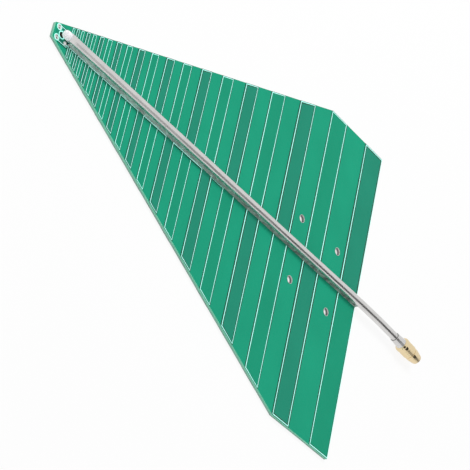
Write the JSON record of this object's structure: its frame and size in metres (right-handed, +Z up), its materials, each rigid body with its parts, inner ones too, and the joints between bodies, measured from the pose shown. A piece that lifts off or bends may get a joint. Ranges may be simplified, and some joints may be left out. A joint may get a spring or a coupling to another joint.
{
  "type": "log periodic antenna",
  "caption": "Flat log periodic dipole antenna: a tapered green circuit board of alternating dipoles with a rigid coaxial feed soldered along it and a threaded gold jack at the rear.",
  "frame": {"origin": "centre of the whole length and width, at the underside of the board", "axes": "+X along the boom towards the narrow nose, Y along the dipoles, +Z up through the board to the cable side"},
  "size_m": [0.2463, 0.145, 0.0068],
  "materials": {
    "laminate": "satin green board laminate",
    "masked_copper": "green solder mask over copper",
    "tinned": "bright tinned metal and solder",
    "gold": "gold plate",
    "ptfe": "white",
    "conductor": "silvered copper clad steel"
  },
  "bodies": {
    "root": {"board": "laminate", "top_copper": "masked_copper", "bottom_copper": "masked_copper", "mount_barrel_1": "tinned", "mount_barrel_2": "tinned", "mount_barrel_3": "tinned", "mount_barrel_4": "tinned", "nose_pad_left": "tinned", "nose_pad_right": "tinned", "coax_shield": "tinned", "coax_dielectric": "ptfe", "centre_conductor": "conductor", "feed_solder": "tinned", "solder_seam_left": "tinned", "solder_seam_right": "tinned", "solder_tack": "tinned", "ferrule": "tinned", "connector_body": "gold", "insulator": "ptfe", "centre_contact": "gold"}
  },
  "joints": []
}
